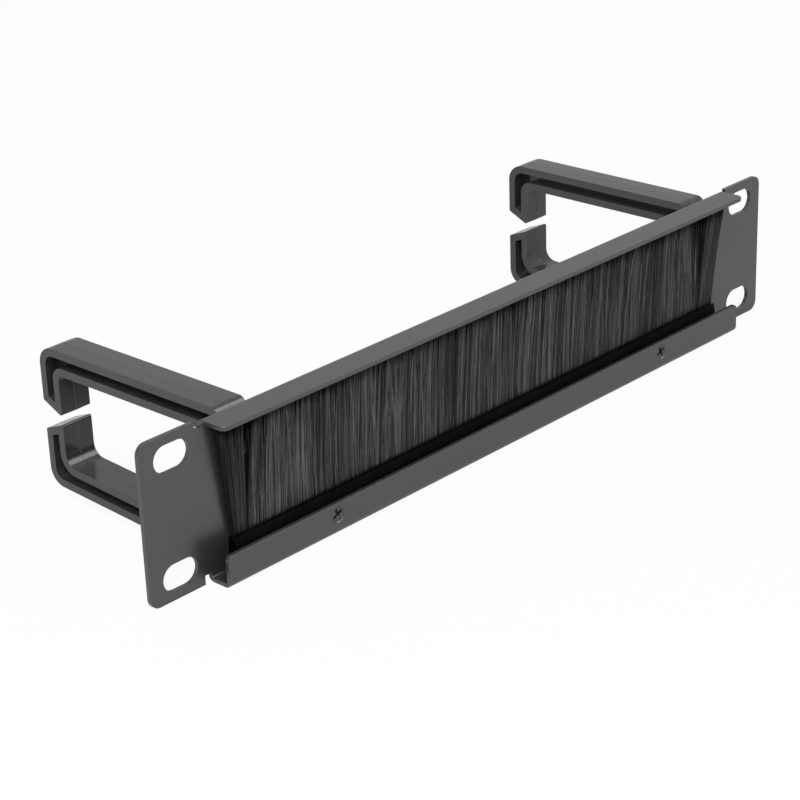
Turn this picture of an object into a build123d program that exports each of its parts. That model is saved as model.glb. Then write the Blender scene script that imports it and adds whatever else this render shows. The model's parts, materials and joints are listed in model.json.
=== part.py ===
from build123d import *
from build123d.topology import SkipClean
import os
from math import sin

# Rack brush strip panel: a folded sheet with rack slots, a brush strip in its tray, two cable rings behind.
# X runs along the panel, to the right seen from the front. Y points into the rack. Z is up. Millimetres.
# The origin is the middle of the four rack slots, on the back face of the sheet.

# Folded sheet
PANEL_WIDTH = 254.0
PANEL_HEIGHT = 44.0
SHEET = 1.2
BEND_RADIUS = 0.65
EAR_WIDTH = 20.0
EAR_CORNER_RADIUS = 3.0
FLANGE_DEPTH = 9.4
TRAY_DEPTH = 7.9
LIP_HEIGHT = 9.05
FLANGE_CORNER_RADIUS = 2.0
LIP_CORNER_RADIUS = 1.6
EDGE_BREAK = 0.1
RELIEF_WIDTH = 2.1
RELIEF_HEIGHT = 2.1
RELIEF_HEIGHT_BELOW = 2.5

# Rack slots
SLOT_EDGE_DISTANCE = 10.2
SLOT_SPACING_Z = 31.75
SLOT_LENGTH = 11.4
SLOT_WIDTH = 7.3

# Cable opening behind the bristles
OPENING_MARGIN = 3.0
OPENING_TOP_BAND = 6.0
OPENING_STEP = 0.6
OPENING_CORNER_RADIUS = 3.0

# Cable rings
RING_WIDTH = 9.7
RING_END_DISTANCE = 11.8
RING_DEPTH = 68.8
RING_TOP_GAP = 0.05
RING_BOTTOM_GAP = 0.05
RING_FALL = 0.3
RING_RISE = 3.7
RING_BAND = 7.2
RING_WALL = 2.3
RING_WEB = 1.8
RING_DRAFT = 0.8
RING_FRONT_RADIUS = 2.6
RING_TOP_REAR_RADIUS = 5.4
RING_BOTTOM_REAR_RADIUS = 5.0
WINDOW_RADIUS = 1.6
WINDOW_BOTTOM_REAR_RADIUS = 3.6
NECK_HEIGHT = 1.5
NECK_GAP = 2.1
MOUTH_RISE = 3.3
MOUTH_DROP = 2.8
HOOK_RADIUS = 0.6

# Screws of the cable rings
RING_SCREW_HEIGHTS = (-6.0, 10.0)
RING_SCREW_HEAD = 4.8
RING_SCREW_SHANK = 2.8
RING_SCREW_LENGTH = 6.2
BOSS_DIAMETER = 6.6
BOSS_INSET = 1.0
PILOT_DEPTH = 5.6

# Holder of the bristles, folded from thin sheet and crimped at its mouth
HOLDER_END_DISTANCE = 6.2
HOLDER_WIDTH = 2.9
HOLDER_HEIGHT = 9.0
HOLDER_WALL = 0.35
HOLDER_MOUTH = 1.3
HOLDER_CRIMP_HEIGHT = 2.0
HOLDER_FOLD_RADIUS = 1.2
WIRE_DIAMETER = 0.5

# Screws through the lip that clamp the holder against the sheet
CLAMP_SCREW_END_DISTANCE = 38.35
CLAMP_SCREW_HEIGHT = 5.7
CLAMP_SCREW_HEAD = 4.1
CLAMP_SCREW_SHANK = 2.4

# Both kinds of screw
SCREW_SINK = 0.25
SCREW_CLEARANCE = 0.05
RECESS_TURN = 25.0
RECESS_SHARE = 0.8
RECESS_BLADE = 0.85
RECESS_DEPTH = 0.8

# Bristles, two rows of tufts on one root folded round the wire
BRISTLE_CLEARANCE = 0.3
ROOT_INSET = 0.2
ROOT_END_DISTANCE = 0.5
TIP_GAP = 0.5
TIP_THICKNESS = 3.0
TIP_LEAN = 1.0
TIP_FLARE = 3.6
FLARE_POWER = 9
TUFT_COUNT = 96
TUFT_ROOT_GAP = 0.14
TUFT_TIP_GAP = 0.34
TUFT_ROW_GAP = 0.1
TUFT_SWAY = 0.1
SWAY_RATE = 7.0
TUFT_RAGGEDNESS = 0.2
RAGGED_RATE = 5.0
TUFT_EMBED = 0.8
TUFT_INSET = 0.03

# Places worked out from the sizes
FOLD_LENGTH = PANEL_WIDTH - 2 * EAR_WIDTH
SLOT_SPACING_X = PANEL_WIDTH - 2 * SLOT_EDGE_DISTANCE
RING_SPACING = FOLD_LENGTH - 2 * RING_END_DISTANCE
HOLDER_LENGTH = FOLD_LENGTH - 2 * HOLDER_END_DISTANCE
ROOT_LENGTH = HOLDER_LENGTH - 2 * ROOT_END_DISTANCE
CLAMP_SCREW_SPACING = FOLD_LENGTH - 2 * CLAMP_SCREW_END_DISTANCE
PANEL_TOP = PANEL_HEIGHT / 2
PANEL_BOTTOM = -PANEL_HEIGHT / 2
PANEL_FRONT = -SHEET
OUTSIDE_BEND = BEND_RADIUS + SHEET
FLANGE_FRONT = -FLANGE_DEPTH
FLANGE_UNDERSIDE = PANEL_TOP - SHEET
LIP_FRONT = -TRAY_DEPTH
LIP_BACK = LIP_FRONT + SHEET
LIP_TOP = PANEL_BOTTOM + LIP_HEIGHT
TRAY_FLOOR = PANEL_BOTTOM + SHEET
HOLDER_TOP = TRAY_FLOOR + HOLDER_HEIGHT
BRUSH_Y = PANEL_FRONT - HOLDER_WIDTH / 2
BRUSH_FRONT = PANEL_FRONT - HOLDER_WIDTH
OPENING_WIDTH = RING_SPACING - RING_WIDTH - 2 * OPENING_MARGIN
OPENING_BOTTOM = HOLDER_TOP + OPENING_STEP
OPENING_TOP = PANEL_TOP - OPENING_TOP_BAND
RING_TOP = PANEL_TOP - RING_TOP_GAP
RING_BOTTOM = PANEL_BOTTOM + RING_BOTTOM_GAP
WINDOW_REAR = RING_DEPTH - RING_BAND
CLAMP_SCREW_Z = PANEL_BOTTOM + CLAMP_SCREW_HEIGHT
CLAMP_SCREW_LENGTH = BRUSH_FRONT - SCREW_CLEARANCE - SCREW_SINK - LIP_FRONT
ROOT_RADIUS = HOLDER_WIDTH / 2 - HOLDER_WALL - BRISTLE_CLEARANCE
ROOT_THICKNESS = HOLDER_MOUTH - 2 * BRISTLE_CLEARANCE
ROOT_TOP = HOLDER_TOP - ROOT_INSET
WIRE_SEAT_RADIUS = WIRE_DIAMETER / 2 + BRISTLE_CLEARANCE
WIRE_Z = TRAY_FLOOR + HOLDER_WALL + BRISTLE_CLEARANCE + ROOT_RADIUS
TIP_TOP = FLANGE_UNDERSIDE - TIP_GAP
TUFT_PITCH = ROOT_LENGTH / TUFT_COUNT


def both_sides(distance):
    """The two places at half a distance from the middle."""
    return (-distance / 2, distance / 2)


def outline(corners):
    """A flat face from its corners, in the order they follow each other."""
    return make_face(Polyline(*corners, close=True))


def rounded(face, corners, radii):
    """The face with each listed corner rounded to its own radius."""
    for corner, radius in zip(corners, radii):
        face = fillet(face.vertices().sort_by_distance((*corner, 0))[0], radius)
    return face


def nearest(shapes, places):
    """The shape nearest to each place."""
    return [shapes.sort_by_distance(place)[0] for place in places]


def along_x(section, length):
    """A section drawn in Y and Z, extruded equally to both sides along X."""
    return extrude(Plane.YZ * section, amount=length / 2, both=True)


def through_sheet(shape):
    """A cutter through the flat sheet, from a shape drawn as seen from the front."""
    return extrude(Plane.XZ * shape, amount=2 * SHEET, both=True)


def facing_front(x, y, z):
    """A place whose own Z axis points to the front."""
    return Pos(x, y, z) * Rot(90, 0, 0)


def clamp_screw_places():
    """Where the screws of the holder sit: on the lip's front, pointing to the front."""
    return [facing_front(x, LIP_FRONT, CLAMP_SCREW_Z) for x in both_sides(CLAMP_SCREW_SPACING)]


def ring_screw_places():
    """Where the screws of the rings sit: on the sheet's front, pointing to the front."""
    return [facing_front(x, PANEL_FRONT, z) for x in both_sides(RING_SPACING) for z in RING_SCREW_HEIGHTS]


def folded_middle():
    """The sheet between the ears: top flange, wall, tray and lip."""
    bends = {
        (0, PANEL_TOP): OUTSIDE_BEND,
        (0, PANEL_BOTTOM): OUTSIDE_BEND,
        (LIP_FRONT, PANEL_BOTTOM): OUTSIDE_BEND,
        (LIP_BACK, TRAY_FLOOR): BEND_RADIUS,
        (PANEL_FRONT, TRAY_FLOOR): BEND_RADIUS,
        (PANEL_FRONT, FLANGE_UNDERSIDE): BEND_RADIUS,
    }
    corners = [
        (0, PANEL_TOP),
        (0, PANEL_BOTTOM),
        (LIP_FRONT, PANEL_BOTTOM),
        (LIP_FRONT, LIP_TOP),
        (LIP_BACK, LIP_TOP),
        (LIP_BACK, TRAY_FLOOR),
        (PANEL_FRONT, TRAY_FLOOR),
        (PANEL_FRONT, FLANGE_UNDERSIDE),
        (FLANGE_FRONT, FLANGE_UNDERSIDE),
        (FLANGE_FRONT, PANEL_TOP),
    ]
    middle = along_x(rounded(outline(corners), bends.keys(), bends.values()), FOLD_LENGTH)
    corner_x = FOLD_LENGTH / 2
    flange_corners = [(x, FLANGE_FRONT, FLANGE_UNDERSIDE + SHEET / 2) for x in (-corner_x, corner_x)]
    lip_corners = [(x, LIP_BACK - SHEET / 2, LIP_TOP) for x in (-corner_x, corner_x)]
    middle = fillet(nearest(middle.edges().filter_by(Axis.Z), flange_corners), FLANGE_CORNER_RADIUS)
    return fillet(nearest(middle.edges().filter_by(Axis.Y), lip_corners), LIP_CORNER_RADIUS)


def ears():
    """The flat sheet at both ends, with its rounded outer corners."""
    sheet = Rectangle(PANEL_WIDTH, PANEL_HEIGHT)
    sheet = fillet(sheet.vertices(), EAR_CORNER_RADIUS) - Rectangle(FOLD_LENGTH, PANEL_HEIGHT)
    return extrude(Plane.XZ * sheet, amount=SHEET)


def notched_sheet():
    """The whole sheet with notches beside its bends and broken edges along the flange and the lip."""
    notches = []
    for x in both_sides(FOLD_LENGTH + RELIEF_WIDTH):
        for z, height in ((PANEL_TOP, RELIEF_HEIGHT), (PANEL_BOTTOM, RELIEF_HEIGHT_BELOW)):
            notches.append(through_sheet(Pos(x, z) * Rectangle(RELIEF_WIDTH, 2 * height)))
    sheet = folded_middle() + ears() - notches
    free_edges = [
        (0, FLANGE_FRONT, PANEL_TOP),
        (0, FLANGE_FRONT, FLANGE_UNDERSIDE),
        (0, LIP_FRONT, LIP_TOP),
        (0, LIP_BACK, LIP_TOP),
    ]
    return chamfer(nearest(sheet.edges().filter_by(Axis.X), free_edges), EDGE_BREAK)


def with_rail_faces(sheet):
    """The sheet with the backs of its ears, which meet the rails of the rack, as faces of their own."""
    between = Box(FOLD_LENGTH + RELIEF_WIDTH, 2 * RING_DEPTH, 2 * PANEL_HEIGHT)
    with SkipClean():
        return (sheet & between) + (sheet - between)


def screw_seat(head, shank):
    """The cutter of a countersunk hole, its own Z axis out of the sheet."""
    below = (Align.CENTER, Align.CENTER, Align.MAX)
    seat_radius = head / 2 + SCREW_SINK
    seat = Cone(shank / 2, seat_radius, seat_radius - shank / 2, align=below)
    return seat + Cylinder(shank / 2 + SCREW_CLEARANCE, 2 * SHEET, align=below)


def front_panel():
    """The folded sheet with its slots, cable opening and countersunk screw holes."""
    cuts = []
    for x in both_sides(SLOT_SPACING_X):
        for z in both_sides(SLOT_SPACING_Z):
            cuts.append(through_sheet(Pos(x, z) * SlotOverall(SLOT_LENGTH, SLOT_WIDTH)))
    opening = RectangleRounded(OPENING_WIDTH, OPENING_TOP - OPENING_BOTTOM, OPENING_CORNER_RADIUS)
    cuts.append(through_sheet(Pos(0, (OPENING_TOP + OPENING_BOTTOM) / 2) * opening))
    cuts += [place * screw_seat(RING_SCREW_HEAD, RING_SCREW_SHANK) for place in ring_screw_places()]
    cuts += [place * screw_seat(CLAMP_SCREW_HEAD, CLAMP_SCREW_SHANK) for place in clamp_screw_places()]
    return with_rail_faces(notched_sheet() - cuts)


def ring_outline():
    """The open ring seen from the side, in Y and Z."""
    corners = [
        (0, RING_BOTTOM),
        (RING_DEPTH, RING_BOTTOM + RING_RISE),
        (RING_DEPTH, RING_TOP - RING_FALL),
        (0, RING_TOP),
    ]
    radii = [RING_FRONT_RADIUS, RING_BOTTOM_REAR_RADIUS, RING_TOP_REAR_RADIUS, RING_FRONT_RADIUS]
    climb = RING_RISE / RING_DEPTH
    dip = RING_FALL / RING_DEPTH
    floor = RING_BOTTOM + RING_BAND
    ceiling = RING_TOP - RING_BAND
    window = [
        (RING_BAND, floor + RING_BAND * climb),
        (WINDOW_REAR, floor + WINDOW_REAR * climb),
        (WINDOW_REAR, ceiling - WINDOW_REAR * dip),
        (RING_BAND, ceiling - RING_BAND * dip),
    ]
    window_radii = [WINDOW_RADIUS, WINDOW_BOTTOM_REAR_RADIUS, WINDOW_RADIUS, WINDOW_RADIUS]
    upper = NECK_HEIGHT + NECK_GAP / 2
    lower = NECK_HEIGHT - NECK_GAP / 2
    hooks = [
        (WINDOW_REAR, upper),
        (RING_DEPTH, upper + MOUTH_RISE),
        (RING_DEPTH, lower - MOUTH_DROP),
        (WINDOW_REAR, lower),
    ]
    inside = WINDOW_REAR - NECK_GAP
    outside = RING_DEPTH + RING_BAND
    mouth = outline([
        (inside, upper),
        (WINDOW_REAR, upper),
        (outside, upper + 2 * MOUTH_RISE),
        (outside, lower - 2 * MOUTH_DROP),
        (WINDOW_REAR, lower),
        (inside, lower),
    ])
    band = rounded(outline(corners), corners, radii)
    shape = band - rounded(outline(window), window, window_radii) - mouth
    return rounded(shape, hooks, [HOOK_RADIUS] * len(hooks))


def cable_ring(x):
    """A moulded open ring: draft to both sides, a groove round each face, bosses for its two screws."""
    shape = ring_outline()
    half = extrude(Plane.YZ * shape, amount=RING_WIDTH / 2, taper=RING_DRAFT)
    groove = Plane.YZ * offset(shape, amount=-RING_WALL, kind=Kind.INTERSECTION)
    half -= Pos(RING_WEB / 2, 0, 0) * extrude(groove, amount=RING_WIDTH)
    ring = half + mirror(half, about=Plane.YZ)
    boss_length = RING_BAND - 2 * BOSS_INSET
    for z in RING_SCREW_HEIGHTS:
        ring += facing_front(0, RING_BAND / 2, z) * Cylinder(BOSS_DIAMETER / 2, boss_length)
    for z in RING_SCREW_HEIGHTS:
        pilot = Cylinder(RING_SCREW_SHANK / 2 + SCREW_CLEARANCE, 2 * PILOT_DEPTH)
        ring -= facing_front(0, 0, z) * pilot
    return Pos(x, 0, 0) * ring


def brush_holder():
    """The folded holder against the sheet's front, standing on the tray."""
    half_width = HOLDER_WIDTH / 2
    half_mouth = HOLDER_MOUTH / 2
    inside = half_width - HOLDER_WALL
    bottom = TRAY_FLOOR
    floor = bottom + HOLDER_WALL
    shoulder = HOLDER_TOP - HOLDER_CRIMP_HEIGHT
    corners = [
        (half_mouth + HOLDER_WALL, HOLDER_TOP),
        (half_width, shoulder),
        (half_width, bottom),
        (-half_width, bottom),
        (-half_width, shoulder),
        (-half_mouth - HOLDER_WALL, HOLDER_TOP),
        (-half_mouth, HOLDER_TOP),
        (-inside, shoulder),
        (-inside, floor),
        (inside, floor),
        (inside, shoulder),
        (half_mouth, HOLDER_TOP),
    ]
    folds = {
        (half_width, bottom): HOLDER_FOLD_RADIUS,
        (-half_width, bottom): HOLDER_FOLD_RADIUS,
        (-inside, floor): HOLDER_FOLD_RADIUS - HOLDER_WALL,
        (inside, floor): HOLDER_FOLD_RADIUS - HOLDER_WALL,
    }
    section = rounded(outline(corners), folds.keys(), folds.values())
    return Pos(0, BRUSH_Y, 0) * along_x(section, HOLDER_LENGTH)


def core_wire():
    """The wire that the bristles are folded round."""
    return along_x(Pos(BRUSH_Y, WIRE_Z) * Circle(WIRE_DIAMETER / 2), ROOT_LENGTH)


def tip_place(x):
    """Where a bristle ends along the strip: those near the ends lean outwards."""
    return x + TIP_FLARE * (2 * x / ROOT_LENGTH) ** FLARE_POWER


def tuft_front(x):
    """One tapered tuft as seen from the front, in X and Z, a little askew and uneven in length."""
    left = tip_place(x - TUFT_PITCH / 2)
    right = tip_place(x + TUFT_PITCH / 2)
    tip_x = (left + right) / 2 + TUFT_SWAY * sin(SWAY_RATE * x)
    tip_z = TIP_TOP - TUFT_RAGGEDNESS * (1 + sin(RAGGED_RATE * x))
    root_half = (TUFT_PITCH - TUFT_ROOT_GAP) / 2
    tip_half = (right - left - TUFT_TIP_GAP) / 2
    return outline([
        (x - root_half, ROOT_TOP - TUFT_EMBED),
        (x + root_half, ROOT_TOP - TUFT_EMBED),
        (tip_x + tip_half, tip_z),
        (tip_x - tip_half, tip_z),
    ])


def tuft_row(row, places):
    """The front row of tufts, -1, or the back row, 1: it fans out from the mouth of the holder."""
    root_middle = BRUSH_Y + row * TUFT_ROW_GAP / 2
    tip_middle = root_middle - TIP_LEAN
    side = outline([
        (root_middle, ROOT_TOP - TUFT_EMBED),
        (tip_middle, TIP_TOP),
        (tip_middle + row * (TIP_THICKNESS - TUFT_ROW_GAP) / 2, TIP_TOP),
        (BRUSH_Y + row * (ROOT_THICKNESS / 2 - TUFT_INSET), ROOT_TOP - TUFT_EMBED),
    ])
    fan = along_x(side, PANEL_WIDTH)
    return [fan & extrude(Plane.XZ * tuft_front(x), amount=FLANGE_DEPTH, both=True) for x in places]


def bristles():
    """The bristles: one root folded round the wire, and two rows of tufts set half a pitch apart."""
    leg = Pos(0, (WIRE_Z + ROOT_TOP) / 2) * Rectangle(ROOT_THICKNESS, ROOT_TOP - WIRE_Z)
    fold = Pos(0, WIRE_Z) * Circle(ROOT_RADIUS)
    seat = Pos(0, WIRE_Z) * Circle(WIRE_SEAT_RADIUS)
    root = Pos(0, BRUSH_Y, 0) * along_x(leg + fold - seat, ROOT_LENGTH)
    front = [-ROOT_LENGTH / 2 + (i + 0.5) * TUFT_PITCH for i in range(TUFT_COUNT)]
    back = [-ROOT_LENGTH / 2 + i * TUFT_PITCH for i in range(1, TUFT_COUNT)]
    return root + tuft_row(-1, front) + tuft_row(1, back)


def countersunk_screw(head, shank, length):
    """A screw with a flat head and a cross recess, sunk in its seat, its own Z axis out of the head."""
    below = (Align.CENTER, Align.CENTER, Align.MAX)
    screw = Cylinder(shank / 2, length, align=below)
    screw += Cone(shank / 2, head / 2, (head - shank) / 2, align=below)
    blade = Box(RECESS_SHARE * head, RECESS_BLADE, RECESS_DEPTH, align=below)
    recess = Rot(0, 0, RECESS_TURN) * (blade + Rot(0, 0, 90) * blade)
    return Pos(0, 0, -SCREW_SINK) * (screw - recess)


def build():
    """All pieces by name."""
    ring_left, ring_right = both_sides(RING_SPACING)
    clamp_screw = countersunk_screw(CLAMP_SCREW_HEAD, CLAMP_SCREW_SHANK, CLAMP_SCREW_LENGTH)
    ring_screw = countersunk_screw(RING_SCREW_HEAD, RING_SCREW_SHANK, RING_SCREW_LENGTH)
    return {
        "front_panel": front_panel(),
        "cable_ring_left": cable_ring(ring_left),
        "cable_ring_right": cable_ring(ring_right),
        "brush_holder": brush_holder(),
        "core_wire": core_wire(),
        "bristles": bristles(),
        "clamp_screws": Compound([place * clamp_screw for place in clamp_screw_places()]),
        "ring_screws": Compound([place * ring_screw for place in ring_screw_places()]),
    }


if __name__ == "__main__":
    os.makedirs("parts", exist_ok=True)
    for name, piece in build().items():
        piece.label = name
        export_step(piece, f"parts/{name}.step")
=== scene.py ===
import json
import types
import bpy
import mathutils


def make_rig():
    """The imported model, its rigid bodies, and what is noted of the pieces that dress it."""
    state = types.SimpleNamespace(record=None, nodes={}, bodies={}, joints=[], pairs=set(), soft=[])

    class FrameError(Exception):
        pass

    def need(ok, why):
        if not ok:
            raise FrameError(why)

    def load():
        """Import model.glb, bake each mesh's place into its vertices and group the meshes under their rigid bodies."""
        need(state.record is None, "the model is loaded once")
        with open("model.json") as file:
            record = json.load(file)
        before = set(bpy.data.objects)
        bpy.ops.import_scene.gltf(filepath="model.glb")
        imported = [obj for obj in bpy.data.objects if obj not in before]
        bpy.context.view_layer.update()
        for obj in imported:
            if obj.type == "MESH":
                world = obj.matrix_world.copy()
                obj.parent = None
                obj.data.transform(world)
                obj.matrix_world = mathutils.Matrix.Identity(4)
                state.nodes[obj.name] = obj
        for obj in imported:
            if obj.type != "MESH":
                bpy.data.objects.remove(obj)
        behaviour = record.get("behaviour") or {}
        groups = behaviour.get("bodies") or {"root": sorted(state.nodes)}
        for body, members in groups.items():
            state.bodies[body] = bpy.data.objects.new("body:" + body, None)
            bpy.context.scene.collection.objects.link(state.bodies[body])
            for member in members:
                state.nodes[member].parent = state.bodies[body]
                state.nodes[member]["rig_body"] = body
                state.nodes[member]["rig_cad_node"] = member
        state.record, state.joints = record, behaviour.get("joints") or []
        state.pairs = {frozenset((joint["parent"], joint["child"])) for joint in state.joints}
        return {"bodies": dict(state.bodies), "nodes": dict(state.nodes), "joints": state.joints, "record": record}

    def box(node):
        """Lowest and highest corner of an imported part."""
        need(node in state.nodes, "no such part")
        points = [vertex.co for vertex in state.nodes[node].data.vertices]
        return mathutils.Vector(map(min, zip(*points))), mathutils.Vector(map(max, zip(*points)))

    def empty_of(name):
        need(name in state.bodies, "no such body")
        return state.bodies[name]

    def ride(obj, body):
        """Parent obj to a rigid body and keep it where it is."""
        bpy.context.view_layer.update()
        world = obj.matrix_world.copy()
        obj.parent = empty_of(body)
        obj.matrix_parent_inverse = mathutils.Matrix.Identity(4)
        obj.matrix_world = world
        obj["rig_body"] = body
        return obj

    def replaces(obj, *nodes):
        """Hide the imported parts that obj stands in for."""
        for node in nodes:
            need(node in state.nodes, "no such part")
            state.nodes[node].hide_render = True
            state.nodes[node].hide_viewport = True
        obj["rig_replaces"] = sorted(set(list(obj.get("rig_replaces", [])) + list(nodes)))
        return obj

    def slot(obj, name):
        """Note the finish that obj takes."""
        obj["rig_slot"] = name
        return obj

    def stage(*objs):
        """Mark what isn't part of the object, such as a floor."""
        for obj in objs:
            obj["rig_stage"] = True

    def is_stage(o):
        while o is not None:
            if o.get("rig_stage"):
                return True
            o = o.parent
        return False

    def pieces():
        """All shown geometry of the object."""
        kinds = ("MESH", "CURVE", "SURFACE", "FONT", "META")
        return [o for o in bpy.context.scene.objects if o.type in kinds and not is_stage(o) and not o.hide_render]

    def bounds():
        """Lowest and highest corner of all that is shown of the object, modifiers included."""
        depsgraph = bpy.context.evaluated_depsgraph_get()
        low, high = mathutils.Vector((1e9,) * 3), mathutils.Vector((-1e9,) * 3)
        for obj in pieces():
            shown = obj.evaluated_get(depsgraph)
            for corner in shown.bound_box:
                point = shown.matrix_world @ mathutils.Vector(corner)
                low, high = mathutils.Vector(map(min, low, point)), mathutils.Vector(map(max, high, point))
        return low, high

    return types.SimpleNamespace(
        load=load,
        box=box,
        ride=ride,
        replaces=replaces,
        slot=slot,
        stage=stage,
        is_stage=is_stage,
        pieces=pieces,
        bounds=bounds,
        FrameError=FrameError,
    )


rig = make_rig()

bl_info = {
    "name": "Rack brush strip panel",
    "version": (1, 0, 0),
    "blender": (4, 5, 0),
    "location": "View3D > Sidebar > Brush Panel",
    "description": "Dresses a rack panel with a brush strip and cable rings, and sets its studio",
    "category": "Object",
}

import json
import math

import bpy
import numpy as np
from bpy.props import FloatProperty, FloatVectorProperty, IntProperty, PointerProperty
from mathutils import Matrix, Vector

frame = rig.load()
CAD_BOX = [list(corner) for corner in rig.bounds()]
BRISTLE_LOW, BRISTLE_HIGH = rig.box("bristles")
HOLDER_LOW, HOLDER_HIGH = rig.box("brush_holder")
PANEL_LOW, PANEL_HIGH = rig.box("front_panel")
RING_LOW, RING_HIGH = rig.box("cable_ring_right")
RING_X = (RING_LOW.x + RING_HIGH.x) / 2
MM = 0.001

# The sheet's own sizes, for the planes that its box doesn't give.
SHEET_THICKNESS = 1.2 * MM
TRAY_DEPTH = 7.9 * MM
LIP_HEIGHT = 9.05 * MM
SHEET_FRONT = -SHEET_THICKNESS
LIP_FRONT = -TRAY_DEPTH
LIP_TOP = PANEL_LOW.z + LIP_HEIGHT

# Painted shade darkens the coat within EDGE_REACH of the upper cut edges, most within EDGE_CORE, to dull their
# highlight.
# PARTING_LINE is half the width of the line round the rings.
EDGE_REACH = 0.16 * MM
EDGE_CORE = 0.11 * MM
PARTING_LINE = 0.12 * MM

# Where the filaments start and end, and how much shorter the tips may be. FAN bends their spread.
# The swells are lengths along the strip. STRAY_LEAN is the spread of the strays' extra lean.
ROOT_HALF_X = HOLDER_HIGH.x - 0.7 * MM
ROOT_Y = (HOLDER_LOW.y + HOLDER_HIGH.y) / 2
ROOT_Z = HOLDER_HIGH.z - 1.2 * MM
ROOT_HALF_Y = 0.28 * MM
TIP_HALF_Y = 1.35 * MM
TIP_Y = BRISTLE_LOW.y + 1.5 * MM
TIP_Z = BRISTLE_HIGH.z - 0.3 * MM
TIP_FALL = 0.28 * MM
FAN = 1.25
LONG_SWELL = 0.0045
SHORT_SWELL = 0.0016
STRAY_LEAN = 2.2

# Painted shade: the dark partings beside the end tufts, and how much dimmer the left and right tufts are painted.
PARTING_ROOT = 0.25 * MM
INNER_FLARE = 0.15
TUFT_SHADE = (0.55, 0.36)

# Each filament's root, shade and place along its length are kept in the attribute named here.
STRAND = "strand"
STRAND_RINGS = 4
STRAND_SIDES = 3
LAYERS = (("bristles_front", 11, -1.0), ("bristles_back", 24, 1.0))

WHITE = (1.0, 1.0, 1.0, 1.0)
FLOOR_COLOUR = (0.66, 0.66, 0.66)
FLOOR_HALF = 6.0
WHITE_TO_CAMERA = 0.94
WHITE_IN_GLOSS = 0.20
TOP_LAMP_SIZE = 0.8
TOP_LAMP_PLACE = (-0.53, -0.40, 0.75)
SIDE_LAMP_SIZE = 0.36
SIDE_LAMP_PLACE = (0.21, -0.20, 0.38)
SENSOR_WIDTH = 36.0
SIZE_FILE = "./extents.json"


class Signal:
    """A number that varies over a surface. Arithmetic on it adds Math nodes to its finish."""

    def __init__(self, finish, socket):
        self.finish = finish
        self.socket = socket

    def calculate(self, operation, *values):
        return self.finish.add("ShaderNodeMath", {"operation": operation}, dict(enumerate(values)))

    def __add__(self, other):
        return self.calculate("ADD", self, other)

    def __sub__(self, other):
        return self.calculate("SUBTRACT", self, other)

    def __rsub__(self, other):
        return self.calculate("SUBTRACT", other, self)

    def __mul__(self, other):
        return self.calculate("MULTIPLY", self, other)

    def __truediv__(self, other):
        return self.calculate("DIVIDE", self, other)

    def __pow__(self, other):
        return self.calculate("POWER", self, other)

    def __abs__(self):
        return self.calculate("ABSOLUTE", self)

    __radd__ = __add__
    __rmul__ = __mul__


class Finish:
    """The nodes of one material or of the world."""

    def __init__(self, owner):
        owner.use_nodes = True
        self.owner = owner
        self.tree = owner.node_tree
        self.tree.nodes.clear()

    def add(self, kind, settings=None, inputs=None, output=0):
        """Adds a node: its settings first, then the values or links of its sockets."""
        node = self.tree.nodes.new(kind)
        for key, value in (settings or {}).items():
            setattr(node, key, value)
        for key, value in (inputs or {}).items():
            if isinstance(value, Signal):
                self.tree.links.new(value.socket, node.inputs[key])
            else:
                node.inputs[key].default_value = value
        return Signal(self, node.outputs[output]) if node.outputs else None

    def place(self, x, y, z):
        """Places on the object, scaled along each axis, so that a noise read there is drawn out."""
        return self.scaled(self.add("ShaderNodeTexCoord", output="Object"), x, y, z)

    def scaled(self, place, x, y, z):
        """Scales places along each axis."""
        return self.add("ShaderNodeVectorMath", {"operation": "MULTIPLY"}, {0: place, 1: (x, y, z)})

    def along(self, axis):
        """The distance along one axis of the object, in metres."""
        spot = self.add("ShaderNodeTexCoord", output="Object")
        return self.add("ShaderNodeSeparateXYZ", {}, {"Vector": spot}, output=axis)

    def noise(self, place, detail=2.0, roughness=0.5):
        """A noise between 0 and 1 with about one swell per unit of the place."""
        inputs = {"Vector": place, "Scale": 1.0, "Detail": detail, "Roughness": roughness}
        return self.add("ShaderNodeTexNoise", {}, inputs)

    def even_noise(self, per_metre, **look):
        """A noise with about this many swells per metre, the same in every direction."""
        return self.noise(self.place(per_metre, per_metre, per_metre), **look)

    def spread(self, signal, low, high):
        """Stretches the part of a signal between low and high over 0 to 1."""
        return self.add("ShaderNodeMapRange", {}, {"Value": signal, "From Min": low, "From Max": high})

    def blend(self, share, dark, light):
        """A colour between two others."""
        inputs = {"Factor": share, "A": (*dark, 1.0), "B": (*light, 1.0)}
        return self.add("ShaderNodeMix", {"data_type": "RGBA"}, inputs, output="Result")

    def bump(self, height, distance):
        """A normal that leans with a height, given the height in metres of one whole step."""
        return self.add("ShaderNodeBump", {}, {"Height": height, "Distance": distance, "Strength": 1.0})

    def surface(self, **sockets):
        """Ends a material in a Principled BSDF with these socket values or links."""
        named = {key.replace("_", " "): value for key, value in sockets.items()}
        return self.end("ShaderNodeOutputMaterial", self.add("ShaderNodeBsdfPrincipled", {}, named))

    def end(self, kind, shader):
        self.add(kind, {}, {"Surface": shader})
        return self.owner


def new_finish(name):
    return Finish(bpy.data.materials.new(name))


class SheetSettings(bpy.types.PropertyGroup):
    """The coat of the folded sheet."""

    colour: FloatVectorProperty(
        name="Coat colour", description="Colour of the powder coat",
        subtype="COLOR", size=3, min=0.0, max=1.0, default=(0.0213, 0.0213, 0.0223))
    roughness: FloatProperty(
        name="Coat roughness", description="Roughness of the powder coat",
        subtype="FACTOR", min=0.0, max=1.0, default=0.31)
    grain: FloatProperty(
        name="Grain depth", description="Depth of the coat's fine grain",
        subtype="DISTANCE", unit="LENGTH", min=0.0, max=0.0005, precision=6, default=0.000012)


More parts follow.
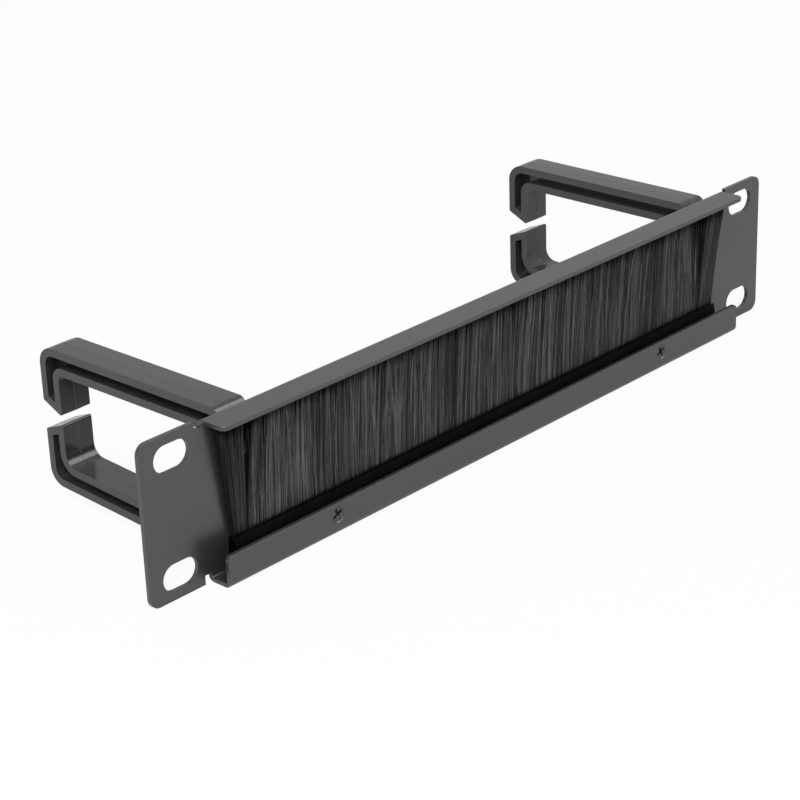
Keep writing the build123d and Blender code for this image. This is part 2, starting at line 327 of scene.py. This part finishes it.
class RingSettings(bpy.types.PropertyGroup):
    """The plastic of the cable rings."""

    colour: FloatVectorProperty(
        name="Plastic colour", description="Colour of the moulded plastic",
        subtype="COLOR", size=3, min=0.0, max=1.0, default=(0.026, 0.026, 0.0265))
    roughness: FloatProperty(
        name="Plastic roughness", description="Roughness of the moulded plastic",
        subtype="FACTOR", min=0.0, max=1.0, default=0.17)


class BrushSettings(bpy.types.PropertyGroup):
    """The bristles and the strip that holds them."""

    count: IntProperty(
        name="Filaments", description="Number of filaments in each of the two layers",
        min=100, max=11000, default=10000)
    bunch: IntProperty(
        name="Bunch",
        description="Number of filaments that cling together and share a lean and a shade",
        min=1, max=50, default=3)
    diameter: FloatProperty(
        name="Filament diameter", description="Diameter of one nylon filament",
        subtype="DISTANCE", unit="LENGTH", min=0.00005, max=0.001, precision=5, default=0.00026)
    lean: FloatProperty(
        name="Lean", description="How far neighbouring bunches of filaments lean along the strip",
        subtype="DISTANCE", unit="LENGTH", min=0.0, max=0.005, precision=5, default=0.0009)
    flare: FloatProperty(
        name="Flare", description="How far the outermost filaments lean out at their tips",
        subtype="DISTANCE", unit="LENGTH", min=0.0, max=0.006, precision=5, default=0.0049)
    end_tuft: FloatVectorProperty(
        name="End tufts",
        description="Length of the tuft that leans out on its own, at the left and right end",
        subtype="XYZ", unit="LENGTH", size=2, min=0.001, max=0.01, precision=5,
        default=(0.0042, 0.0066))
    parting: FloatVectorProperty(
        name="Parting",
        description="How far the filaments beside the end tufts lean away from them",
        subtype="XYZ", unit="LENGTH", size=2, min=0.0, max=0.006, precision=5,
        default=(0.0036, 0.0054))
    strays: FloatProperty(
        name="Strays", description="Share of filaments that cross their neighbours on the outside",
        subtype="FACTOR", min=0.0, max=0.5, default=0.05)
    colour: FloatVectorProperty(
        name="Bristle colour", description="Colour of the nylon filaments",
        subtype="COLOR", size=3, min=0.0, max=1.0, default=(0.0100, 0.0100, 0.0102))


class StageSettings(bpy.types.PropertyGroup):
    """The studio round the panel."""

    sky: FloatProperty(
        name="Sky strength", description="Strength of the even light from all round",
        min=0.0, max=5.0, default=0.70)
    lamp: FloatProperty(
        name="Lamp power", description="Power of the large lamp above",
        subtype="POWER", unit="POWER", min=0.0, max=200.0, default=9.6)
    side_lamp: FloatProperty(
        name="Side lamp power", description="Power of the compact lamp at the front right",
        subtype="POWER", unit="POWER", min=0.0, max=200.0, default=1.1)
    lens: FloatProperty(
        name="Lens", description="Focal length of the camera",
        subtype="DISTANCE_CAMERA", unit="CAMERA", min=10.0, max=300.0, default=102.176)
    azimuth: FloatProperty(
        name="Azimuth", description="Direction of view, from straight at the front towards the right",
        subtype="ANGLE", unit="ROTATION", default=math.radians(46.408))
    elevation: FloatProperty(
        name="Elevation", description="How far the camera looks down",
        subtype="ANGLE", unit="ROTATION", default=math.radians(23.705))
    roll: FloatProperty(
        name="Roll", description="How far the camera is turned about its view",
        subtype="ANGLE", unit="ROTATION", default=math.radians(-2.160))
    station: FloatVectorProperty(
        name="Station", description="Where the camera stands",
        subtype="XYZ", unit="LENGTH", size=3, default=(-0.43393, -0.37891, 0.24349))


def dress(nodes, material):
    """Gives the material to every slot of these CAD nodes."""
    for name in nodes:
        mesh = frame["nodes"][name].data
        mesh.materials.clear()
        mesh.materials.append(material)


def colours_round(colour, darker, lighter):
    """Two colours, one on each side of the colour given."""
    return [c * darker for c in colour], [c * lighter for c in colour]


def powder_coat(settings):
    """Satin powder coat: fine grain over a slow orange peel, rougher along the upper cut edges and darkened there with
    painted shade that dulls their highlight.
    """
    finish = new_finish("powder_coat_black")
    grain = finish.even_noise(5200.0, detail=3.0, roughness=0.6)
    peel = finish.even_noise(900.0)
    cloud = finish.even_noise(45.0)
    dark, light = colours_round(settings.colour, 0.30, 1.14)
    share = 0.69 + 0.31 * finish.spread(grain * 0.6 + cloud * 0.4, 0.35, 0.65)
    y = finish.along("Y")
    z = finish.along("Z")
    # Painted shade along the flange's front edge and the lip's top edge, which dulls their highlight.
    edge_shade_mask = 0.0
    for edge_y, edge_z in ((PANEL_LOW.y, PANEL_HIGH.z), (LIP_FRONT, LIP_TOP)):
        near_y = finish.spread(abs(y - edge_y), EDGE_REACH, EDGE_CORE)
        near_z = finish.spread(abs(z - edge_z), EDGE_REACH, EDGE_CORE)
        edge_shade_mask = edge_shade_mask + near_y * near_z
    return finish.surface(
        Base_Color=finish.blend(share * (1.0 - edge_shade_mask), dark, light),
        Roughness=(settings.roughness - 0.05) + 0.10 * peel + 0.3 * edge_shade_mask,
        Specular_IOR_Level=0.9,
        Normal=finish.bump(grain + 1.5 * peel, settings.grain),
    )


def ring_plastic(settings):
    """Moulded plastic with a fine spark-eroded grain and slow flow streaks along the arms."""
    finish = new_finish("moulded_plastic_black")
    grain = finish.even_noise(6500.0)
    flow = finish.noise(finish.place(420.0, 38.0, 90.0), detail=3.0)
    dark, light = colours_round(settings.colour, 0.86, 1.18)
    share = finish.spread(grain * 0.35 + flow * 0.65, 0.35, 0.65)
    parting = finish.spread(abs(abs(finish.along("X")) - RING_X), 0.0, PARTING_LINE)
    return finish.surface(
        Base_Color=finish.blend(share, dark, light),
        Roughness=(settings.roughness - 0.06) + 0.12 * flow,
        Specular_IOR_Level=0.56,
        Normal=finish.bump(grain + 4.0 * flow + 12.0 * parting, 0.000008),
    )


def black_strip():
    """Dull black strip metal, drawn lengthwise, that gives back hardly any light; its near-black colour also paints
    the deep shade in the tray behind the lip.
    """
    finish = new_finish("holder_strip_black")
    drawn = finish.noise(finish.place(25.0, 3800.0, 3800.0), detail=3.0)
    dirt = finish.even_noise(160.0, detail=3.0)
    share = finish.spread(drawn * 0.5 + dirt * 0.5, 0.3, 0.7)
    return finish.surface(
        # The very low colour is partly the strip's own black and partly painted shade of the tray behind the lip.
        Base_Color=finish.blend(share, (0.0010, 0.0010, 0.0011), (0.0028, 0.0028, 0.0030)),
        Roughness=0.62 + 0.16 * dirt,
        Specular_IOR_Level=0.06,
        Normal=finish.bump(drawn, 0.000006),
    )


def black_oxide(name, seat_y):
    """Blackened screw steel under the face that the screw is sunk in, with painted shade further down in the hollow of
    its head.
    """
    finish = new_finish(name)
    turned = finish.even_noise(2600.0, detail=3.0)
    # Painted shade: the steel darkens with depth behind the face that the screw is sunk in.
    hollow_shade = finish.spread(finish.along("Y") - seat_y, 0.28 * MM, 0.55 * MM)
    share = (0.55 + 0.45 * finish.spread(turned, 0.35, 0.7)) * (1.0 - 0.85 * hollow_shade)
    return finish.surface(
        Base_Color=finish.blend(share, (0.001, 0.001, 0.001), (0.060, 0.060, 0.062)),
        Roughness=0.36 + 0.15 * turned,
        Normal=finish.bump(turned, 0.000006),
    )


def drawn_wire():
    """Plain drawn steel wire."""
    finish = new_finish("core_wire_steel")
    drawn = finish.noise(finish.place(12.0, 6000.0, 6000.0))
    return finish.surface(
        Base_Color=finish.blend(drawn, (0.30, 0.30, 0.30), (0.44, 0.44, 0.44)),
        Roughness=0.28 + 0.2 * drawn,
        Metallic=1.0,
    )


def tuft_light(finish, fan, settings):
    """Light on the brush's ends: dark in the parting beside each end tuft, and dimmer on the tuft."""
    inner = INNER_FLARE * settings.flare
    lit = 1.0
    for side, tuft, parting, shaded in zip((-1.0, 1.0), settings.end_tuft, settings.parting, TUFT_SHADE):
        middle = (ROOT_HALF_X - tuft) + (0.5 * (inner - parting)) * fan
        half = PARTING_ROOT + (0.5 * (inner + parting)) * fan
        beyond = (side * finish.along("X") - middle) / half
        beside = finish.spread(abs(beyond), 0.55, 1.15)
        lit = lit * beside * (1.0 - shaded * finish.spread(beyond, 0.0, 1.0))
    return lit


def nylon(settings):
    """Black nylon filaments of random tone, with painted shade on the inner ones, at their roots, under the flange and
    at the ends, so that the outer ones look lit.
    """
    finish = new_finish("bristle_nylon_black")
    up = finish.along("Z")
    fan = finish.spread(up, ROOT_Z, TIP_Z) ** FAN
    middle_y = ROOT_Y + (TIP_Y - ROOT_Y) * fan
    half_y = ROOT_HALF_Y + (TIP_HALF_Y - ROOT_HALF_Y) * fan
    depth = (middle_y - finish.along("Y")) / half_y
    strand = finish.add("ShaderNodeAttribute", {"attribute_name": STRAND}, output="Vector")
    own = finish.add("ShaderNodeSeparateXYZ", {}, {"Vector": strand}, output="Y")
    bunch = finish.noise(finish.scaled(strand, 1300.0, 6.0, 3.2), detail=1.0)
    swell = finish.noise(finish.scaled(strand, 230.0, 0.0, 1.2))
    shade = finish.spread(bunch, 0.36, 0.66) * 0.74 + finish.spread(swell, 0.3, 0.7) * 0.26
    share = (0.05 + 0.95 * own ** 1.9) * (0.45 + 0.55 * shade)
    # Painted shade: filaments deeper in the brush are darker.
    inner_shade = finish.spread(abs(depth), 0.40, 0.95) ** 1.5
    # Painted shade at the roots, fading out over a ragged line just above the holder.
    ragged = up - 0.9 * MM * bunch
    root_shade = finish.spread(ragged, HOLDER_HIGH.z - 0.2 * MM, HOLDER_HIGH.z + 1.0 * MM)
    # Painted shadow of the flange over the tips of the filaments.
    flange_shadow = 1.0 - 0.30 * finish.spread(up, TIP_Z - 4.0 * MM, TIP_Z)
    # Painted shade in the partings beside the end tufts and on the tufts themselves.
    lit = tuft_light(finish, fan, settings)
    dark, light = colours_round(settings.colour, 0.08, 14.6)
    return finish.surface(
        Base_Color=finish.blend(share * inner_shade * root_shade * flange_shadow * lit, dark, light),
        Roughness=0.44 - 0.14 * own,
        Specular_IOR_Level=0.35,
    )


def bunch_habits(rng, middle_x, settings):
    """How far each bunch leans and how far out it stands. Strays lean further, on the outside."""
    bunches = len(middle_x)
    lean = lean_curve(middle_x, rng, LONG_SWELL) + 0.7 * lean_curve(middle_x, rng, SHORT_SWELL)
    lean += 0.60 * rng.normal(0.0, 1.0, bunches)
    stray = rng.uniform(0.0, 1.0, bunches) < settings.strays
    lean += np.where(stray, rng.normal(0.0, STRAY_LEAN, bunches), 0.0)
    depth = np.where(stray, 1.0, rng.uniform(0.0, 1.0, bunches))
    return lean, depth


def plant(rng, side, settings):
    """The bunch, the root and the tip of each filament in a layer, and the number of bunches."""
    count = settings.count
    bunches = count // settings.bunch
    member = np.sort(rng.integers(0, bunches, count))
    middle_x = np.sort(rng.uniform(-ROOT_HALF_X, ROOT_HALF_X, bunches))
    lean, bunch_depth = bunch_habits(rng, middle_x, settings)
    root_x = middle_x[member] + rng.normal(0.0, 0.35 * settings.diameter, count)
    root_x = np.clip(root_x, -ROOT_HALF_X, ROOT_HALF_X)
    depth = np.clip(bunch_depth[member] + rng.normal(0.0, 0.05, count), 0.0, 1.0) * side
    tip_x = root_x + end_lean(middle_x, ROOT_HALF_X, settings)[member] + settings.lean * lean[member]
    tip_x += rng.normal(0.0, 0.3 * settings.diameter, count)
    limit = BRISTLE_HIGH.x - settings.diameter
    tip_x = np.clip(tip_x, -limit, limit)
    tip_z = TIP_Z - np.abs(rng.normal(0.0, TIP_FALL, count))
    root = (root_x, ROOT_Y + ROOT_HALF_Y * depth, ROOT_Z)
    tip = (tip_x, TIP_Y + TIP_HALF_Y * depth, tip_z)
    return member, bunches, root, tip


def strand_points(rng, root, tip, share, settings):
    """The points of the rings along each filament, which bows a little and tapers to its tip."""
    (root_x, root_y, root_z), (tip_x, tip_y, tip_z) = root, tip
    count = len(root_x)
    bow = 0.3 * settings.lean * rng.normal(0.0, 1.0, count)[:, None] * np.sin(math.pi * share)
    ease = share ** FAN
    axis_x = root_x[:, None] + (tip_x - root_x)[:, None] * ease + bow
    axis_y = root_y[:, None] + (tip_y - root_y)[:, None] * ease
    axis_z = root_z + (tip_z - root_z)[:, None] * share
    radius = settings.diameter / 2 * rng.uniform(0.8, 1.15, count)[:, None] * (1.0 - 0.18 * share)
    corner = np.arange(STRAND_SIDES)[None, None, :]
    turn = rng.uniform(0.0, 2 * math.pi, count)[:, None, None] + corner * 2 * math.pi / STRAND_SIDES
    points = np.empty((count, STRAND_RINGS, STRAND_SIDES, 3))
    points[..., 0] = axis_x[..., None] + radius[..., None] * np.cos(turn)
    points[..., 1] = axis_y[..., None] + radius[..., None] * np.sin(turn)
    points[..., 2] = axis_z[..., None]
    return points


def strand_faces(count):
    """The corners of the sides and tips of the filaments, and how many corners each face has."""
    corner = np.arange(STRAND_SIDES)[None, None, :]
    first = np.arange(count)[:, None, None] * STRAND_RINGS * STRAND_SIDES
    ring = first + np.arange(STRAND_RINGS - 1)[None, :, None] * STRAND_SIDES
    low = ring + corner
    low_next = ring + (corner + 1) % STRAND_SIDES
    sides = np.stack([low, low_next, low_next + STRAND_SIDES, low + STRAND_SIDES], axis=-1)
    sides = sides.reshape(-1, 4)
    tips = first[:, 0, :] + (STRAND_RINGS - 1) * STRAND_SIDES + np.arange(STRAND_SIDES)[None, :]
    corners = np.concatenate([sides.ravel(), tips.ravel()]).astype(np.int32)
    sizes = np.concatenate([np.full(len(sides), 4), np.full(count, STRAND_SIDES)]).astype(np.int32)
    return corners, sizes


def filament_mesh(name, seed, side, settings):
    """One layer of fine filaments, from the holder's mouth to just under the flange."""
    rng = np.random.default_rng(seed)
    share = np.linspace(0.0, 1.0, STRAND_RINGS)[None, :]
    member, bunches, root, tip = plant(rng, side, settings)
    points = strand_points(rng, root, tip, share, settings)
    corners, sizes = strand_faces(settings.count)
    starts = np.concatenate([[0], np.cumsum(sizes)[:-1]]).astype(np.int32)
    mesh = bpy.data.meshes.new(name)
    mesh.vertices.add(settings.count * STRAND_RINGS * STRAND_SIDES)
    mesh.vertices.foreach_set("co", points.astype(np.float32).ravel())
    mesh.loops.add(len(corners))
    mesh.loops.foreach_set("vertex_index", corners)
    mesh.polygons.add(len(sizes))
    mesh.polygons.foreach_set("loop_start", starts)
    strand = np.empty(points.shape)
    strand[..., 0] = root[0][:, None, None]
    strand[..., 1] = rng.uniform(0.0, 1.0, bunches)[member][:, None, None]
    strand[..., 2] = share[..., None]
    attribute = mesh.attributes.new(STRAND, "FLOAT_VECTOR", "POINT")
    attribute.data.foreach_set("vector", strand.astype(np.float32).ravel())
    mesh.update(calc_edges=True)
    mesh.validate()
    mesh.shade_smooth()
    return mesh


def end_lean(x, half, settings):
    """How far tips lean along the strip near its ends: the last tuft outwards, those beside it inwards."""
    inside = half - np.abs(x)
    width = np.where(x < 0.0, *settings.end_tuft)
    parting = np.where(x < 0.0, *settings.parting)
    outwards = settings.flare * np.clip(1.15 - inside / width, 0.0, 1.0)
    inwards = parting * np.clip(1.0 - (inside - width) / (2.2 * width), 0.0, 1.0)
    return np.sign(x) * np.where(inside < width, outwards, -inwards)


def lean_curve(x, rng, length):
    """A smooth random lean along the strip, with swells of about this length, between about -1 and 1."""
    knots = np.arange(x.min() - length, x.max() + 2 * length, length)
    return np.interp(x, knots, rng.normal(0.0, 0.7, len(knots)))


def add_object(name, data):
    obj = bpy.data.objects.new(name, data)
    bpy.context.scene.collection.objects.link(obj)
    return obj


class BRUSHPANEL_OT_sheet(bpy.types.Operator):
    """Coats the folded sheet with black powder coat"""

    bl_idname = "brushpanel.sheet"
    bl_label = "Coat the sheet"

    def execute(self, context):
        dress(["front_panel"], powder_coat(context.scene.brush_panel_sheet))
        return {"FINISHED"}


class BRUSHPANEL_OT_rings(bpy.types.Operator):
    """Gives the cable rings their moulded plastic"""

    bl_idname = "brushpanel.rings"
    bl_label = "Mould the rings"

    def execute(self, context):
        dress(["cable_ring_left", "cable_ring_right"], ring_plastic(context.scene.brush_panel_rings))
        return {"FINISHED"}


class BRUSHPANEL_OT_holder(bpy.types.Operator):
    """Blackens the holder of the bristles and gives the wire its steel"""

    bl_idname = "brushpanel.holder"
    bl_label = "Blacken the holder"

    def execute(self, context):
        dress(["brush_holder"], black_strip())
        dress(["core_wire"], drawn_wire())
        return {"FINISHED"}


class BRUSHPANEL_OT_screws(bpy.types.Operator):
    """Blackens the screws"""

    bl_idname = "brushpanel.screws"
    bl_label = "Blacken the screws"

    def execute(self, context):
        dress(["clamp_screws"], black_oxide("clamp_screw_black_oxide", LIP_FRONT))
        dress(["ring_screws"], black_oxide("ring_screw_black_oxide", SHEET_FRONT))
        return {"FINISHED"}


class BRUSHPANEL_OT_bristles(bpy.types.Operator):
    """Plants two layers of fine filaments in place of the plain tufts"""

    bl_idname = "brushpanel.bristles"
    bl_label = "Plant the bristles"

    def execute(self, context):
        settings = context.scene.brush_panel_brush
        material = nylon(settings)
        for name, seed, side in LAYERS:
            mesh = filament_mesh(name, seed, side, settings)
            mesh.materials.append(material)
            layer = add_object(name, mesh)
            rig.ride(layer, "root")
            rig.replaces(layer, "bristles")
            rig.slot(layer, "bristle_nylon")
        return {"FINISHED"}


def studio_surface(name, colour):
    """A pale matt surface, nearly white to the camera, that keeps the object's soft shadow."""
    finish = new_finish(name)
    seen = finish.add("ShaderNodeLightPath", output="Is Camera Ray")
    mirrored = finish.add("ShaderNodeLightPath", output="Is Glossy Ray")
    matt = finish.add("ShaderNodeBsdfDiffuse", {}, {"Color": (*colour, 1.0)})
    white = finish.add("ShaderNodeEmission", {}, {"Color": WHITE, "Strength": 1.0})
    share = seen.calculate("MAXIMUM", WHITE_TO_CAMERA * seen, WHITE_IN_GLOSS * mirrored)
    shader = finish.add("ShaderNodeMixShader", {}, {0: share, 1: matt, 2: white})
    return finish.end("ShaderNodeOutputMaterial", shader)


class BRUSHPANEL_OT_stage(bpy.types.Operator):
    """Sets the floor, the lights and the camera"""

    bl_idname = "brushpanel.stage"
    bl_label = "Set the stage"

    def execute(self, context):
        settings = context.scene.brush_panel_stage
        self.floor()
        self.light(context, settings)
        self.camera(context, settings)
        context.scene.view_settings.view_transform = "Standard"
        return {"FINISHED"}

    def floor(self):
        signs = ((-1.0, -1.0), (1.0, -1.0), (1.0, 1.0), (-1.0, 1.0))
        corners = [(x * FLOOR_HALF, y * FLOOR_HALF, PANEL_LOW.z) for x, y in signs]
        mesh = bpy.data.meshes.new("studio_floor")
        mesh.from_pydata(corners, [], [(0, 1, 2, 3)])
        mesh.materials.append(studio_surface("studio_floor_pale", FLOOR_COLOUR))
        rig.stage(add_object("studio_floor", mesh))

    def light(self, context, settings):
        world = bpy.data.worlds.new("studio_sky")
        context.scene.world = world
        finish = Finish(world)
        seen = finish.add("ShaderNodeLightPath", output="Is Camera Ray")
        sky = finish.add("ShaderNodeBackground", {}, {"Color": WHITE, "Strength": settings.sky})
        white = finish.add("ShaderNodeBackground", {}, {"Color": WHITE, "Strength": 1.0})
        shader = finish.add("ShaderNodeMixShader", {}, {0: seen, 1: sky, 2: white})
        finish.end("ShaderNodeOutputWorld", shader)
        self.lamp("top_lamp", settings.lamp, TOP_LAMP_SIZE, Vector(TOP_LAMP_PLACE))
        side = self.lamp("side_lamp", settings.side_lamp, SIDE_LAMP_SIZE, Vector(SIDE_LAMP_PLACE))
        side.visible_diffuse = False

    def lamp(self, name, power, size, place):
        """A round lamp that faces the object."""
        data = bpy.data.lights.new(name, "AREA")
        data.shape = "DISK"
        data.size = size
        data.energy = power
        holder = add_object(name, data)
        holder.location = place
        holder.rotation_euler = (-place).to_track_quat("-Z", "Y").to_euler()
        return holder

    def camera(self, context, settings):
        azimuth, elevation, roll = settings.azimuth, settings.elevation, settings.roll
        forward = Vector((
            math.sin(azimuth) * math.cos(elevation),
            math.cos(azimuth) * math.cos(elevation),
            -math.sin(elevation),
        ))
        level = Vector((math.cos(azimuth), -math.sin(azimuth), 0.0))
        upright = level.cross(forward)
        right = math.cos(roll) * level + math.sin(roll) * upright
        up = -math.sin(roll) * level + math.cos(roll) * upright
        data = bpy.data.cameras.new("photo_camera")
        data.sensor_fit = "HORIZONTAL"
        data.sensor_width = SENSOR_WIDTH
        data.lens = settings.lens
        data.clip_start = 0.01
        data.clip_end = 50.0
        camera = add_object("photo_camera", data)
        axes = Matrix((right, up, -forward)).transposed().to_4x4()
        camera.matrix_world = Matrix.Translation(Vector(settings.station)) @ axes
        context.scene.camera = camera


class BRUSHPANEL_PT_sidebar(bpy.types.Panel):
    """The panel's own tab in the 3D view's sidebar"""

    bl_idname = "BRUSHPANEL_PT_sidebar"
    bl_label = "Rack brush strip panel"
    bl_space_type = "VIEW_3D"
    bl_region_type = "UI"
    bl_category = "Brush Panel"

    def draw(self, context):
        for group, operator in STEPS:
            box = self.layout.box()
            settings = getattr(context.scene, group) if group else None
            for name in settings.bl_rna.properties.keys() if settings else ():
                if name not in {"rna_type", "name"}:
                    box.prop(settings, name)
            box.operator(operator)


GROUPS = {
    "brush_panel_sheet": SheetSettings,
    "brush_panel_rings": RingSettings,
    "brush_panel_brush": BrushSettings,
    "brush_panel_stage": StageSettings,
}
STEPS = [
    ("brush_panel_sheet", BRUSHPANEL_OT_sheet.bl_idname),
    ("brush_panel_rings", BRUSHPANEL_OT_rings.bl_idname),
    ("", BRUSHPANEL_OT_holder.bl_idname),
    ("", BRUSHPANEL_OT_screws.bl_idname),
    ("brush_panel_brush", BRUSHPANEL_OT_bristles.bl_idname),
    ("brush_panel_stage", BRUSHPANEL_OT_stage.bl_idname),
]
CLASSES = [
    *GROUPS.values(),
    BRUSHPANEL_OT_sheet,
    BRUSHPANEL_OT_rings,
    BRUSHPANEL_OT_holder,
    BRUSHPANEL_OT_screws,
    BRUSHPANEL_OT_bristles,
    BRUSHPANEL_OT_stage,
    BRUSHPANEL_PT_sidebar,
]


def register():
    for cls in CLASSES:
        bpy.utils.register_class(cls)
    for name, group in GROUPS.items():
        setattr(bpy.types.Scene, name, PointerProperty(type=group))


def unregister():
    for name in GROUPS:
        delattr(bpy.types.Scene, name)
    for cls in reversed(CLASSES):
        bpy.utils.unregister_class(cls)


def main():
    """Builds everything in order and notes the sizes."""
    register()
    for _, operator in STEPS:
        category, name = operator.split(".")
        getattr(getattr(bpy.ops, category), name)()
    with open(SIZE_FILE, "w") as file:
        json.dump({"cad": CAD_BOX, "visual": [list(corner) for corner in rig.bounds()]}, file)


if __name__ == "__main__":
    main()
